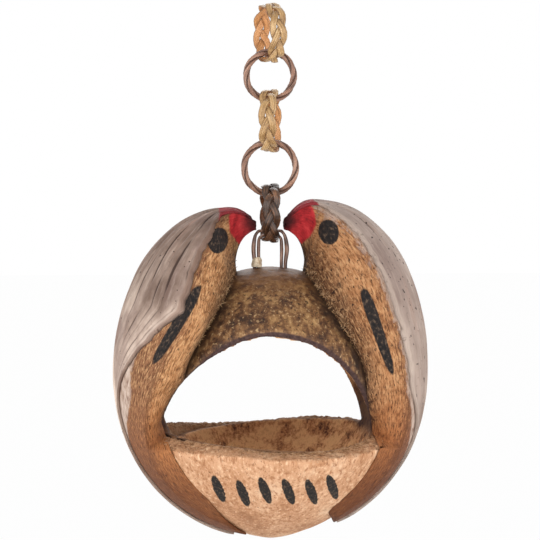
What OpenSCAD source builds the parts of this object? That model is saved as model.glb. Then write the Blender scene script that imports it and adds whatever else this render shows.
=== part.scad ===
// Hanging bird feeder carved from one coconut.
// Two birds are cut from the husk on either side of the hard shell, which is
// sawn open front and back over a bowl. A tie of vine through the crown hangs
// it from a chain of twisted and plaited vine rings.
// The origin is where a hook bears on the top link. +Z is up, the front is -Y.

/* [Shell] */
// Outer diameter of the hard shell
shell_d = 124; // [112:1:136]
// Thickness of the shell wall
shell_wall = 4; // [3:0.5:6]

/* [Windows] */
// Radius of the half-round window, front and back
window_r = 54; // [50:1:57]
// Shift of both windows off the hanging line, to the right
window_shift = -3.5; // [-5:0.5:5]
// Depth of the window sill below the shell's centre
sill_drop = 26; // [22:1:28]
// Tilt of the front sill, right side down
front_sill_tilt = 4; // [0:0.5:5]
// Tilt of the back sill, right side up
back_sill_tilt = 4; // [0:0.5:5]

/* [Bowl husk] */
// Thickness of the husk over the shell at the bowl's rim
bowl_wall = 13; // [9:0.5:15]
// Thickness of the husk under the shell's lowest point
bowl_floor = 18.5; // [14:0.5:22]
// Radius of the arc that the bowl's side follows
bowl_side_r = 96; // [88:1:120]
// Angle of the bowl husk's upper edge, from straight up
rim_angle = 111; // [109:0.5:113]
// Outward fall of the husk rim
rim_fall = 14; // [6:1:20]

/* [Birds] */
// Thickness of husk and skin over the shell at the birds' waist
husk_t = 19.2; // [16:0.2:24]
// Thickness of the smooth outer skin left on each back
skin_t = 1.6; // [1:0.2:2.4]
// Half of the left bird's width, front to back, at the shoulder
left_shoulder_half = 59; // [54:0.5:62]
// Half of the right bird's width, front to back, at the shoulder
right_shoulder_half = 48; // [46:0.5:56]
// Angle at which the left skin starts to narrow
left_skin_angle = 54; // [48:1:64]
// Angle at which the right skin starts to narrow
right_skin_angle = 76; // [68:1:82]
// Half of the skin's width, front to back, under the bowl
skin_tail_half = 9; // [8:0.5:14]
// Half of each bird's thickness, front to back, where the cheek meets the shell
cheek_half = 41; // [38:0.5:47]
// Half of the beak's thickness at its tip
beak_half = 3.2; // [2:0.2:4.5]
// Angle of the beak's tip, from straight up
beak_angle = 5.4; // [5:0.1:6.5]
// Height of the beak's underside over the shell
beak_lift = 19.8; // [17:0.2:23]
// Height of the beak's tip, top to underside
beak_tip_t = 3.4; // [3.2:0.2:6]
// Angle at which the throat meets the shell
throat_angle = 18; // [16:0.5:20]
// Fullness of the left bird's head over the waist
left_head_rise = 17.5; // [14:0.5:20]
// Fullness of the right bird's head over the waist
right_head_rise = 22.5; // [18:0.5:25]
// Angle of the fullest part of each head
head_angle = 21; // [18:0.5:26]
// Spread of each head's fullness down the back
head_spread = 42; // [34:1:48]
// Angle at which the beak rises to the head's full height
beak_run = 5.5; // [4:0.25:7]
// Angle of the left tail's end
left_tail_angle = 166; // [158:1:168]
// Angle of the right tail's end
right_tail_angle = 154; // [148:1:160]
// Half of the tail's width, front to back, near its end
tail_half = 32; // [28:0.5:36]
// Half of the tail's width where it leaves the bowl's rim
groove_half = 47; // [42:0.5:50]
// Swell of the carved faces
face_swell = 3.5; // [1:0.25:5]

/* [Chain] */
// Outer diameter of the top link, plaited
top_link_d = 30.6; // [28:0.2:34]
// Outer diameter of the upper ring, twisted
upper_ring_d = 28.4; // [26:0.2:32]
// Outer diameter of the middle link, plaited
middle_link_d = 32.8; // [30:0.2:36]
// Outer diameter of the lower ring, twisted
lower_ring_d = 30.6; // [28:0.2:34]
// Outer diameter of the dark link, plaited
dark_link_d = 31; // [29:0.2:34]
// Turn of the top link about the hanging line
top_link_turn = 15; // [0:1:20]
// Turn of the middle link about the hanging line
middle_link_turn = -9; // [-20:1:0]
// Diameter of one strand in a twisted ring
strand_d = 1.55; // [1.3:0.05:1.7]
// Width of one ribbon in a plaited link
ribbon_w = 2.4; // [2:0.1:2.6]
// Thickness of one ribbon in a plaited link
ribbon_t = 1.1; // [0.8:0.05:1.2]
// Free space kept between neighbouring strands of a ring or of the tie
strand_gap = 0.5; // [0.45:0.05:0.7]
// Free space kept between crossing ribbons of a link
ribbon_gap = 0.65; // [0.6:0.05:0.8]
// Width of the tan plaited links, without the ribbon
plait_w = 7.6; // [7.2:0.1:8.4]
// Width of the dark plaited link, without the ribbon
dark_plait_w = 7; // [6.9:0.1:7.6]

/* [Tie] */
// Diameter of the vine tie
tie_d = 1.6; // [1.2:0.1:1.8]
// Height of the tie's inner loop over the shell's crown
tie_h = 16; // [12:0.5:18]
// Radius of the tie's bends
tie_bend_r = 3.4; // [2.6:0.1:4]

/* [Clearances] */
// Gap between layers of the coconut that lie on each other
layer_gap = 0.4; // [0.35:0.05:0.5]
// Gap where one link rests on another
rest_gap = 0.35; // [0.3:0.05:0.5]
// Room around the tie in its holes
hole_gap = 0.35; // [0.3:0.05:0.6]

/* [Hidden] */
$fn = 96;
LEFT = -1;
RIGHT = 1;

// Chain sizes: half the thickness of a twisted ring and of a plaited link
turns = 3;
ring_twists = 7;
link_bights = 8;
rings_per_turn = 24;
tube_sides = 6;
strand_off = (strand_d + strand_gap) / sqrt(3);
ring_half = strand_off + strand_d / 2;
ribbon_lift = (ribbon_t + ribbon_gap) / sqrt(3);
link_half = ribbon_lift + ribbon_t / 2;

// Chain heights: each inner crown rests on the inner bottom of the piece above
top_link_in = top_link_d / 2 - 2 * link_half;
upper_ring_in = upper_ring_d / 2 - 2 * ring_half;
middle_link_in = middle_link_d / 2 - 2 * link_half;
lower_ring_in = lower_ring_d / 2 - 2 * ring_half;
dark_link_in = dark_link_d / 2 - 2 * link_half;
top_link_z = -top_link_in;
upper_ring_z = top_link_z - top_link_in + rest_gap - upper_ring_in;
middle_link_z = upper_ring_z - upper_ring_in + rest_gap - middle_link_in;
lower_ring_z = middle_link_z - middle_link_in + rest_gap - lower_ring_in;
dark_link_z = lower_ring_z - lower_ring_in + rest_gap - dark_link_in;

// Tie: two flat loops, the inner one round the dark link's lowest ribbons
tie_pitch = tie_d + strand_gap;
tie_crown_z = dark_link_z - dark_link_in + rest_gap + tie_d / 2;
tie_in_x = (dark_plait_w + ribbon_w) / 2 + rest_gap + tie_d / 2;
tie_out_x = tie_in_x + tie_pitch;
hole_x = (tie_in_x + tie_out_x) / 2;
hole_r = tie_pitch / 2 + tie_d / 2 + hole_gap;
tie_stub = 3;
tie_ring_step = 2 * tie_d;
plug_r = hole_r + 0.7;
plug_h = 5;

// Coconut heights and radii, about the shell's centre
shell_r = shell_d / 2;
shell_z = tie_crown_z - tie_d / 2 - tie_h - shell_r;
seat_r = shell_r + layer_gap;
back_r = shell_r + husk_t;
gap_angle = atan(layer_gap / shell_r);
step_angle = gap_angle / 2;
cut_reach = 2 * back_r;
cut_start = 8;
floor_flat = 0.4;

// Bowl profile: an arc of bowl_side_r from the rim's outer edge to the bottom
rim_r = seat_r + bowl_wall;
rim_spot = [rim_r * sin(rim_angle), rim_r * cos(rim_angle)];
floor_spot = [0, -shell_r - bowl_floor];
chord = rim_spot - floor_spot;
arc_back = sqrt(bowl_side_r * bowl_side_r - chord * chord / 4);
arc_c = (rim_spot + floor_spot) / 2 + arc_back * [-chord[1], chord[0]] / norm(chord);

// Bird shape: exponents of the easing curves and spans in degrees
ease_power = 2.2;
head_span = 60;
neck_start = 16;
neck_span = 55;
neck_half = 5;
shoulder_angle = 58;
tail_span = 70;
skin_span = 48;
tail_end_span = 14;
tail_end_share = 0.35;
throat_share = 0.8;
axis_share = 0.77;
beak_share = 0.46;
beak_turn = 28;
window_share = 0.95;
ring_spread = 1.5;
upper_rings = 26;
lower_rings = 9;
arc_steps = 14;
side_steps = 4;

function ease(t) = 1 - pow(1 - min(1, max(0, t)), ease_power);
function smooth(t) = let (s = min(1, max(0, t))) s * s * (3 - 2 * s);
function mix(a, b, t) = a + (b - a) * t;
function unit(v) = v / norm(v);

// Distance of the bowl's outside from the shell's centre, at an angle from straight up
function bowl_out(a) =
    let (b = -arc_c[0] * sin(a) - arc_c[1] * cos(a),
         c = arc_c * arc_c - bowl_side_r * bowl_side_r)
    -b + sqrt(b * b - c);

// Distance of a bird's back from the shell's centre
function head_rise(side) = side == LEFT ? left_head_rise : right_head_rise;
function tail_angle(side) = side == LEFT ? left_tail_angle : right_tail_angle;
function shoulder_half(side) = side == LEFT ? left_shoulder_half : right_shoulder_half;
function skin_angle(side) = side == LEFT ? left_skin_angle : right_skin_angle;
function full_back(side, a) =
    back_r - 1 + head_rise(side) * exp(-pow((a - head_angle) / head_spread, 2));
function beak_top() = shell_r + beak_lift + beak_tip_t;
function bird_back(side, a) =
    full_back(side, a)
    - (full_back(side, beak_angle) - beak_top()) * exp(-(a - beak_angle) / beak_run);

// Distance of a bird's inside: throat, then shell, then the bowl below the rim
function throat(a) =
    seat_r + (beak_lift - layer_gap)
    * (1 - pow(min(1, (a - beak_angle) / (throat_angle - beak_angle)), ease_power));
function bird_front(a) = a < rim_angle - gap_angle ? throat(a) : bowl_out(a) + layer_gap;

// Half thickness, front to back, at the back and at the inside
function tail_end(side, a) =
    1 - (1 - tail_end_share)
    * pow(max(0, a - tail_angle(side) + tail_end_span) / tail_end_span, ease_power);
function back_half(side, a) =
    min(mix(mix(beak_half, shoulder_half(side), ease((a - beak_angle) / head_span)), tail_half,
            smooth((a - shoulder_angle) / tail_span)) * tail_end(side, a),
        mix(beak_share, axis_share, smooth((a - beak_angle) / beak_turn)) * bird_back(side, a) * sin(a));
function skin_half(side, a) =
    min(back_half(side, a), mix(shoulder_half(side), skin_tail_half, smooth((a - skin_angle(side)) / skin_span))
        * tail_end(side, a));
function window_half(z) =
    z < -sill_drop || z > window_r - sill_drop ? 0
    : sqrt(window_r * window_r - pow(z + sill_drop, 2));
function front_half(side, a) =
    let (r = bird_front(a), d = r * sin(a), w = max(0, window_half(r * cos(a)) + side * window_shift + layer_gap),
         neck = mix(neck_half, cheek_half, ease((a - neck_start) / neck_span)))
    a < rim_angle - gap_angle
    ? min(back_half(side, a) * mix(throat_share, 1, smooth((a - beak_angle) / head_span)), neck,
          sqrt(d * d - min(w, d * window_share) ^ 2))
    : min(mix(groove_half, tail_half, (a - rim_angle) / (tail_angle(side) - rim_angle)) * tail_end(side, a),
          axis_share * d);

// A spot on a bird from its distance and angle at the shell's centre and its depth
function bird_spot(side, r, a, y) =
    let (d = r * sin(a)) [side * sqrt(max(0, d * d - y * y)), y, r * cos(a)];

// Row of spots across a bird at one distance, evenly turned, from depth -half to half
function bird_arc(side, r, a, half) =
    let (d = r * sin(a), f = asin(min(1, half / d)))
    [for (i = [0:arc_steps]) bird_spot(side, r, a, d * sin(mix(-f, f, i / arc_steps)))];

// Angles of the rings: close at the beak, then a step at the bowl's rim, then the tail
function ring_angles(side) =
    let (rim = rim_angle - gap_angle - step_angle, low = rim_angle - gap_angle)
    [for (k = [0:upper_rings]) mix(beak_angle, rim, pow(k / upper_rings, ring_spread)),
     for (k = [0:lower_rings]) mix(low, tail_angle(side), k / lower_rings)];

function husk_ring(side, a) =
    let (out = bird_back(side, a) - skin_t - layer_gap, h = back_half(side, a),
         in = bird_front(a), g = front_half(side, a),
         swell = face_swell * min(1, (out - in) / husk_t) * smooth((a - beak_angle) / head_span))
    [each bird_arc(side, out, a, h),
     for (i = [1:side_steps]) let (t = i / (side_steps + 1))
         bird_spot(side, mix(out, in, t), a, mix(h, g, t) + swell * sin(180 * t)),
     each bird_arc(side, in, a, -g),
     for (i = [1:side_steps]) let (t = i / (side_steps + 1))
         bird_spot(side, mix(in, out, t), a, mix(-g, -h, t) - swell * sin(180 * t))];

function skin_ring(side, a) =
    let (out = bird_back(side, a), h = skin_half(side, a))
    [each bird_arc(side, out, a, h), each bird_arc(side, out - skin_t, a, -h)];

// Triangles of a flat-ended skin over rings of equal length; sides is the points in one flank
function quad(a, b, c, d) = [[a, b, c], [a, c, d]];
function cap(first, count, sides) =
    let (inner = arc_steps + 1 + sides)
    [for (i = [0:arc_steps - 1])
         each quad(first + i, first + i + 1,
                   first + inner + arc_steps - i - 1, first + inner + arc_steps - i),
     for (i = [0:1:sides - 1])
         [first + arc_steps, first + arc_steps + 1 + i, first + arc_steps + 2 + i],
     for (i = [0:1:sides - 1])
         [first + inner + arc_steps, first + inner + arc_steps + 1 + i,
          first + (inner + arc_steps + 2 + i) % count]];
function flip(faces) = [for (f = faces) [f[2], f[1], f[0]]];

module ring_loft(rings, sides, side) {
    count = len(rings[0]);
    last = len(rings) - 1;
    walls = [for (k = [0:last - 1]) for (i = [0:count - 1])
        each quad(k * count + i, k * count + (i + 1) % count,
                  (k + 1) * count + (i + 1) % count, (k + 1) * count + i)];
    faces = concat(walls, flip(cap(0, count, sides)), cap(last * count, count, sides));
    polyhedron([for (r = rings) each r], side == RIGHT ? faces : flip(faces));
}

// Path of a twisted ring in the XZ plane and of a plaited link in the YZ plane:
// one strand that goes three times round. Each entry is a spot and its outward direction.
function twist_path(d) =
    let (n = turns * rings_per_turn, r = d / 2 - ring_half)
    [for (i = [0:n - 1]) let (f = 360 * turns * i / n, w = 360 * ring_twists * i / n,
                              out = [cos(f), 0, sin(f)])
        [(r + strand_off * cos(w)) * out + [0, strand_off * sin(w), 0], out]];
function plait_path(d, wide) =
    let (n = turns * rings_per_turn, r = d / 2 - link_half)
    [for (i = [0:n - 1]) let (f = 360 * turns * i / n, w = 360 * link_bights * i / n,
                              out = [0, cos(f), sin(f)])
        [(r + ribbon_lift * sin(2 * w)) * out + [wide / 2 * sin(w), 0, 0], out]];

// Spot, across and outward directions at each step of a closed path
function frames(path) =
    let (n = len(path))
    [for (i = [0:n - 1])
        let (t = unit(path[(i + 1) % n][0] - path[(i + n - 1) % n][0]),
             out = unit(path[i][1] - (path[i][1] * t) * t))
        [path[i][0], cross(t, out), out]];

// Least clear distance between stretches of one tube that aren't neighbours on it
function reach(f, v, wide, thick) = norm([wide / 2 * (f[1] * v), thick / 2 * (f[2] * v)]);
function least_gap(fs, wide, thick) =
    let (n = len(fs), apart = rings_per_turn / 3)
    min([for (i = [0:n - 1]) for (j = [i + apart:1:min(n - 1, i + n - apart)])
        let (v = fs[j][0] - fs[i][0], u = unit(v))
        norm(v) - reach(fs[i], u, wide, thick) - reach(fs[j], u, wide, thick)]);

module closed_tube(fs, wide, thick) {
    n = len(fs);
    spots = [for (f = fs) for (k = [0:tube_sides - 1]) let (a = 360 * k / tube_sides)
        f[0] + wide / 2 * cos(a) * f[1] + thick / 2 * sin(a) * f[2]];
    faces = [for (i = [0:n - 1]) for (k = [0:tube_sides - 1])
        let (j = (i + 1) % n, m = (k + 1) % tube_sides)
        each quad(i * tube_sides + k, i * tube_sides + m, j * tube_sides + m, j * tube_sides + k)];
    polyhedron(spots, faces);
}

module twisted_ring(d) {
    fs = frames(twist_path(d));
    echo(ring_gap = least_gap(fs, strand_d, strand_d));
    closed_tube(fs, strand_d, strand_d);
}

module plaited_link(d, wide) {
    fs = frames(plait_path(d, wide));
    echo(link_gap = least_gap(fs, ribbon_w, ribbon_t));
    closed_tube(fs, ribbon_w, ribbon_t);
}

module top_link() {
    color("burlywood") translate([0, 0, top_link_z]) rotate(top_link_turn)
        plaited_link(top_link_d, plait_w);
}

module upper_ring() {
    color("saddlebrown") translate([0, 0, upper_ring_z]) twisted_ring(upper_ring_d);
}

module middle_link() {
    color("burlywood") translate([0, 0, middle_link_z]) rotate(middle_link_turn)
        plaited_link(middle_link_d, plait_w);
}

module lower_ring() {
    color("sienna") translate([0, 0, lower_ring_z]) twisted_ring(lower_ring_d);
}

module dark_link() {
    color("#3a2a20") translate([0, 0, dark_link_z]) plaited_link(dark_link_d, dark_plait_w);
}

// Route of the tie, as spots in the XZ plane: up the left hole, over, down the right
// hole, back under the crown and round once more outside the first loop
function bend(x, z, from, to, r) =
    let (steps = 4) [for (i = [0:steps]) let (a = mix(from, to, i / steps)) [x + r * cos(a), z + r * sin(a)]];
function rise(x, from, to) =
    let (n = ceil(abs(to - from) / tie_ring_step)) [for (i = [1:n - 1]) [x, mix(from, to, i / n)]];
function tie_loop(x, top) =
    concat(bend(-x + tie_bend_r, top - tie_bend_r, 180, 90, tie_bend_r),
           bend(x - tie_bend_r, top - tie_bend_r, 90, 0, tie_bend_r));
tie_under_z = shell_z + sqrt((shell_r - shell_wall) ^ 2 - tie_out_x ^ 2) - 1;
tie_under_r = hole_x;
tie_turn_z = tie_crown_z - tie_bend_r;
tie_out_turn_z = tie_turn_z + tie_pitch;
tie_route = concat(
    [[-tie_in_x, tie_under_z - tie_stub + 1]],
    rise(-tie_in_x, tie_under_z - tie_stub + 1, tie_turn_z),
    tie_loop(tie_in_x, tie_crown_z),
    rise(tie_in_x, tie_turn_z, tie_under_z),
    bend(-tie_pitch / 2, tie_under_z, 0, -180, tie_under_r),
    rise(-tie_out_x, tie_under_z, tie_out_turn_z),
    tie_loop(tie_out_x, tie_crown_z + tie_pitch),
    rise(tie_out_x, tie_out_turn_z, tie_under_z - tie_stub),
    [[tie_out_x, tie_under_z - tie_stub]]);

module hanger_tie() {
    n = len(tie_route);
    spots = [for (i = [0:n - 1])
        let (t = unit(tie_route[min(n - 1, i + 1)] - tie_route[max(0, i - 1)]), side = [-t[1], t[0]])
        for (k = [0:tube_sides + 1]) let (a = 360 * k / (tube_sides + 2))
            [tie_route[i][0] + tie_d / 2 * cos(a) * side[0], tie_d / 2 * sin(a),
             tie_route[i][1] + tie_d / 2 * cos(a) * side[1]]];
    s = tube_sides + 2;
    walls = [for (i = [0:n - 2]) for (k = [0:s - 1]) let (m = (k + 1) % s)
        each quad(i * s + k, i * s + m, (i + 1) * s + m, (i + 1) * s + k)];
    ends = [[for (k = [s - 1:-1:0]) k], [for (k = [0:s - 1]) (n - 1) * s + k]];
    color("#4a2c1c") polyhedron(spots, concat(walls, ends));
}

// Dab of pale glue that locks the tie's end in the left hole
module glue_plug() {
    top = shell_z + sqrt(shell_r ^ 2 - hole_x ^ 2);
    color("#ddd0b0") translate([-hole_x, 0, top + layer_gap])
        difference() {
            cylinder(h = plug_h, r1 = plug_r, r2 = plug_r - 0.8);
            for (x = [-tie_pitch / 2, tie_pitch / 2])
                translate([x, 0, -1]) cylinder(h = plug_h + 2, r = tie_d / 2 + 0.05);
        }
}

module half_disc(r) {
    intersection() {
        circle(r);
        translate([-r, 0]) square([2 * r, r]);
    }
}

// Window cut through one wall; way is -1 for the front and 1 for the back
module window_cut(way, tilt) {
    translate([window_shift, way * cut_start, -sill_drop]) rotate([0, tilt, 0])
        rotate([90, 0, way > 0 ? 180 : 0]) linear_extrude(cut_reach) half_disc(window_r);
}

module shell() {
    color("#6b4a2c") translate([0, 0, shell_z]) difference() {
        rotate([90, 0, 0]) sphere(shell_r);
        rotate([90, 0, 0]) sphere(shell_r - shell_wall);
        window_cut(-1, front_sill_tilt);
        window_cut(1, -back_sill_tilt);
        for (side = [LEFT, RIGHT])
            translate([side * hole_x, 0, 0]) cylinder(h = cut_reach, r = hole_r);
    }
}

// Slanted cut that lowers the husk rim to the sill, falling outwards
module rim_cut(way, tilt) {
    translate([0, way * shell_r * sin(rim_angle), -sill_drop]) rotate([0, tilt, 0])
        rotate([-way * rim_fall, 0, 0])
        translate([window_shift - window_r, -shell_r / 2, 0]) cube([2 * window_r, shell_r, shell_r]);
}

module bowl_husk() {
    reach = cut_reach;
    color("#c68e5e") translate([0, 0, shell_z]) difference() {
        rotate_extrude() intersection() {
            translate(arc_c) circle(bowl_side_r);
            polygon([[0, 0], reach * [sin(rim_angle), cos(rim_angle)], [reach, floor_spot[1] + floor_flat],
                     [0, floor_spot[1] + floor_flat]]);
        }
        rotate([90, 0, 0]) sphere(seat_r);
        rim_cut(-1, front_sill_tilt);
        rim_cut(1, -back_sill_tilt);
    }
}

module bird(side) {
    color("#b27d4a") translate([0, 0, shell_z])
        ring_loft([for (a = ring_angles(side)) husk_ring(side, a)], side_steps, side);
}

module skin(side) {
    color("#a89890") translate([0, 0, shell_z])
        ring_loft([for (a = ring_angles(side)) skin_ring(side, a)], 0, side);
}

top_link();
upper_ring();
middle_link();
lower_ring();
dark_link();
hanger_tie();
glue_plug();
shell();
bowl_husk();
bird(LEFT);  // left_bird
bird(RIGHT);  // right_bird
skin(LEFT);  // left_skin
skin(RIGHT);  // right_skin
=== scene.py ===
import math

import bpy
import numpy as np
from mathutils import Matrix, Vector, noise


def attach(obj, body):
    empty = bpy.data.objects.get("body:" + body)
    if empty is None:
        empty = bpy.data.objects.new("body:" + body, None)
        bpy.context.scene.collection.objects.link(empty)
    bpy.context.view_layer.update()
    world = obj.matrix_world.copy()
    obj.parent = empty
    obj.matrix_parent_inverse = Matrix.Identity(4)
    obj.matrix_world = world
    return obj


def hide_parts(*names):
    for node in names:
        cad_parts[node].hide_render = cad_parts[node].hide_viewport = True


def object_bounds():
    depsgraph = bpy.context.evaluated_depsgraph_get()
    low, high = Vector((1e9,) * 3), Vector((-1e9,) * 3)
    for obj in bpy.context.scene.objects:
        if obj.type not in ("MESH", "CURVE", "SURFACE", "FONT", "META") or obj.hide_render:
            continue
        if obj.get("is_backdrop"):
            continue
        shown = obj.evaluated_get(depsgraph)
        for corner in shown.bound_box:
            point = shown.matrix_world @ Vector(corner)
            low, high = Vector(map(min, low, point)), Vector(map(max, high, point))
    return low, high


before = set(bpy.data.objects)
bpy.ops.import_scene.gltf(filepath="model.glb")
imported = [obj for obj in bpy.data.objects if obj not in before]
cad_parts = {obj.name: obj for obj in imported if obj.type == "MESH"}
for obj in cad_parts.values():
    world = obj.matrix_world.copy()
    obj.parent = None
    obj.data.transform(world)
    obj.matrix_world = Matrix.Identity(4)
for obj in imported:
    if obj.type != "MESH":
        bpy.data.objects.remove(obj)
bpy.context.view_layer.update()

scene = bpy.context.scene
scene.view_settings.view_transform = "Standard"

# The view: a long lens a little to the left of the feeder and just above its middle,
# in a white room with a pale floor well below the hanging nut.
VIEW_TURN = math.radians(-3.5)
VIEW_RISE = math.radians(4.5)
VIEW_FAR = 1.3
VIEW_WIDE = 0.2806
VIEW_SPOT = Vector((0, 0, -0.1349))
SENSOR = 36
view_way = Vector((math.sin(VIEW_TURN) * math.cos(VIEW_RISE),
                   -math.cos(VIEW_TURN) * math.cos(VIEW_RISE), math.sin(VIEW_RISE)))
camera = bpy.data.objects.new("camera", bpy.data.cameras.new("camera"))
scene.collection.objects.link(camera)
camera.location = VIEW_SPOT + VIEW_FAR * view_way
camera.rotation_euler = view_way.to_track_quat("Z", "Y").to_euler()
camera.data.sensor_width = SENSOR
camera.data.lens = SENSOR * VIEW_FAR / VIEW_WIDE
scene.camera = camera


def seen_rays(tree):
    """1 for a ray from the camera, a reflection or a see-through surface, and 0 for one that only lights."""
    path = tree.nodes.new("ShaderNodeLightPath")
    seen = path.outputs["Is Camera Ray"]
    for other in ("Is Glossy Ray", "Is Transmission Ray"):
        either = tree.nodes.new("ShaderNodeMath")
        either.operation = "MAXIMUM"
        tree.links.new(seen, either.inputs[0])
        tree.links.new(path.outputs[other], either.inputs[1])
        seen = either.outputs[0]
    return seen


WALL_WHITE = (1, 1, 1, 1)
SKY_TINT = (0.95, 0.97, 1, 1)
SKY_LEVEL = 0.42
room = bpy.data.worlds.new("room")
scene.world = room
room.use_nodes = True
room_nodes = room.node_tree.nodes
white_wall = room_nodes.new("ShaderNodeBackground")
white_wall.inputs["Color"].default_value = WALL_WHITE
soft_light = room_nodes["Background"]
soft_light.inputs["Color"].default_value = SKY_TINT
soft_light.inputs["Strength"].default_value = SKY_LEVEL
which = room_nodes.new("ShaderNodeMixShader")
room_links = room.node_tree.links
room_links.new(seen_rays(room.node_tree), which.inputs[0])
room_links.new(soft_light.outputs[0], which.inputs[1])
room_links.new(white_wall.outputs[0], which.inputs[2])
room_links.new(which.outputs[0], room_nodes["World Output"].inputs["Surface"])

LAMP_SIZE = 0.8
LAMPS = {"key_lamp": ((-0.55, -0.95, 0.35), 7.5),
         "fill_lamp": ((0.65, -0.95, 0.05), 4),
         "low_lamp": ((0.05, -0.85, -0.55), 5),
         "left_lamp": ((-1.1, -0.35, -0.15), 6.5),
         "right_lamp": ((1.1, -0.35, -0.15), 5.5),
         "back_lamp": ((0.1, 0.8, 0.4), 4)}
for lamp, (spot, watts) in LAMPS.items():
    light = bpy.data.lights.new(lamp, "AREA")
    light.size = LAMP_SIZE
    light.energy = watts
    lamp_object = bpy.data.objects.new(lamp, light)
    scene.collection.objects.link(lamp_object)
    lamp_object.location = spot
    lamp_object.rotation_euler = (Vector(spot) - VIEW_SPOT).to_track_quat("Z", "Y").to_euler()

FLOOR_Z = -0.62
FLOOR_HALF = 6
FLOOR_GREY = (0.82, 0.82, 0.82, 1)
FLOOR_ROUGH = 0.9
FLOOR_GLOW = 0.98
floor_mesh = bpy.data.meshes.new("floor")
corners = [(x * FLOOR_HALF, y * FLOOR_HALF, FLOOR_Z) for x, y in ((-1, -1), (1, -1), (1, 1), (-1, 1))]
floor_mesh.from_pydata(corners, [], [(0, 1, 2, 3)])
floor = bpy.data.objects.new("floor", floor_mesh)
scene.collection.objects.link(floor)
pale_floor = bpy.data.materials.new("pale_floor")
pale_floor.use_nodes = True
floor_nodes = pale_floor.node_tree.nodes
floor_paint = floor_nodes["Principled BSDF"]
floor_paint.inputs["Base Color"].default_value = FLOOR_GREY
floor_paint.inputs["Roughness"].default_value = FLOOR_ROUGH
floor_glow = floor_nodes.new("ShaderNodeEmission")
floor_share = floor_nodes.new("ShaderNodeMath")
floor_share.operation = "MULTIPLY"
floor_share.inputs[1].default_value = FLOOR_GLOW
floor_mix = floor_nodes.new("ShaderNodeMixShader")
floor_links = pale_floor.node_tree.links
floor_links.new(seen_rays(pale_floor.node_tree), floor_share.inputs[0])
floor_links.new(floor_share.outputs[0], floor_mix.inputs[0])
floor_links.new(floor_paint.outputs[0], floor_mix.inputs[1])
floor_links.new(floor_glow.outputs[0], floor_mix.inputs[2])
floor_links.new(floor_mix.outputs[0], floor_nodes["Material Output"].inputs["Surface"])
floor_mesh.materials.append(pale_floor)
floor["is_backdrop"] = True


# The hard shell: a brown nut shell 4 mm thick, scraped and oiled on the crown, sawn open
# front and back. The sawn edge is bevelled outwards, dark, and shows all round the window.
class Tone:
    """A socket in a node tree: sums on Tones add Math nodes, and node() adds any other node."""

    def __init__(self, tree, socket=None):
        self.tree = tree
        self.socket = socket

    def node(self, kind, settings, inputs, out=0):
        """Adds a node with its settings and its inputs, and returns one of its outputs."""
        made = self.tree.nodes.new(kind)
        for name, value in settings.items():
            if name == "stops":
                stops = made.color_ramp.elements
                stops.remove(stops[1])
                stops[0].position, stops[0].color = value[0][0], (*value[0][1], 1)
                for place, colour in value[1:]:
                    stops.new(place).color = (*colour, 1)
            else:
                setattr(made, name, value)
        for name, value in inputs.items():
            if isinstance(value, Tone):
                self.tree.links.new(value.socket, made.inputs[name])
            elif isinstance(value, tuple) and len(value) == 3 and made.inputs[name].type == "RGBA":
                made.inputs[name].default_value = (*value, 1)
            else:
                made.inputs[name].default_value = value
        return Tone(self.tree, made.outputs[out])

    def maths(self, kind, a, b=0.0):
        return self.node("ShaderNodeMath", {"operation": kind}, {0: a, 1: b})

    def __add__(self, other):
        return self.maths("ADD", self, other)

    def __radd__(self, other):
        return self.maths("ADD", other, self)

    def __sub__(self, other):
        return self.maths("SUBTRACT", self, other)

    def __rsub__(self, other):
        return self.maths("SUBTRACT", other, self)

    def __mul__(self, other):
        return self.maths("MULTIPLY", self, other)

    def __truediv__(self, other):
        return self.maths("DIVIDE", self, other)

    def __pow__(self, other):
        return self.maths("POWER", self, other)

    def most(self, other):
        return self.maths("MAXIMUM", self, other)

    def step(self, low, high):
        return self.node("ShaderNodeMapRange", {"interpolation_type": "SMOOTHSTEP"},
                         {"Value": self, "From Min": low, "From Max": high})

    def over(self, under, colour):
        """This value as the share of colour laid over the colour under it."""
        return self.node("ShaderNodeMix", {"data_type": "RGBA"}, {0: self, 6: under, 7: colour}, 2)

    def times(self, colour):
        """This colour multiplied by another."""
        return self.node("ShaderNodeMix", {"data_type": "RGBA", "blend_type": "MULTIPLY"},
                         {0: 1.0, 6: self, 7: colour}, 2)

    def mark(self, name):
        """A named number that the mesh carries at each spot."""
        return self.node("ShaderNodeAttribute", {"attribute_name": name}, {}, 2)

    def spread(self, stops):
        return self.node("ShaderNodeValToRGB", {"stops": stops}, {"Fac": self})

    def grain(self, scale, turn=(0, 0, 0), detail=4.0, rough=0.6, shift=(0, 0, 0)):
        """Noise over this vector, with the given numbers of features to a metre along each axis."""
        laid = self.node("ShaderNodeMapping", {},
                         {"Vector": self, "Scale": scale, "Rotation": turn, "Location": shift})
        return self.node("ShaderNodeTexNoise", {},
                         {"Vector": laid, "Scale": 1.0, "Detail": detail, "Roughness": rough})

    def vector(self, x=0.0, y=0.0, z=0.0):
        """A vector of numbers or Tones, in the same tree as this Tone."""
        return self.node("ShaderNodeCombineXYZ", {}, {0: x, 1: y, 2: z})

    def part(self, axis):
        return self.node("ShaderNodeSeparateXYZ", {}, {0: self}, axis)


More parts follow.
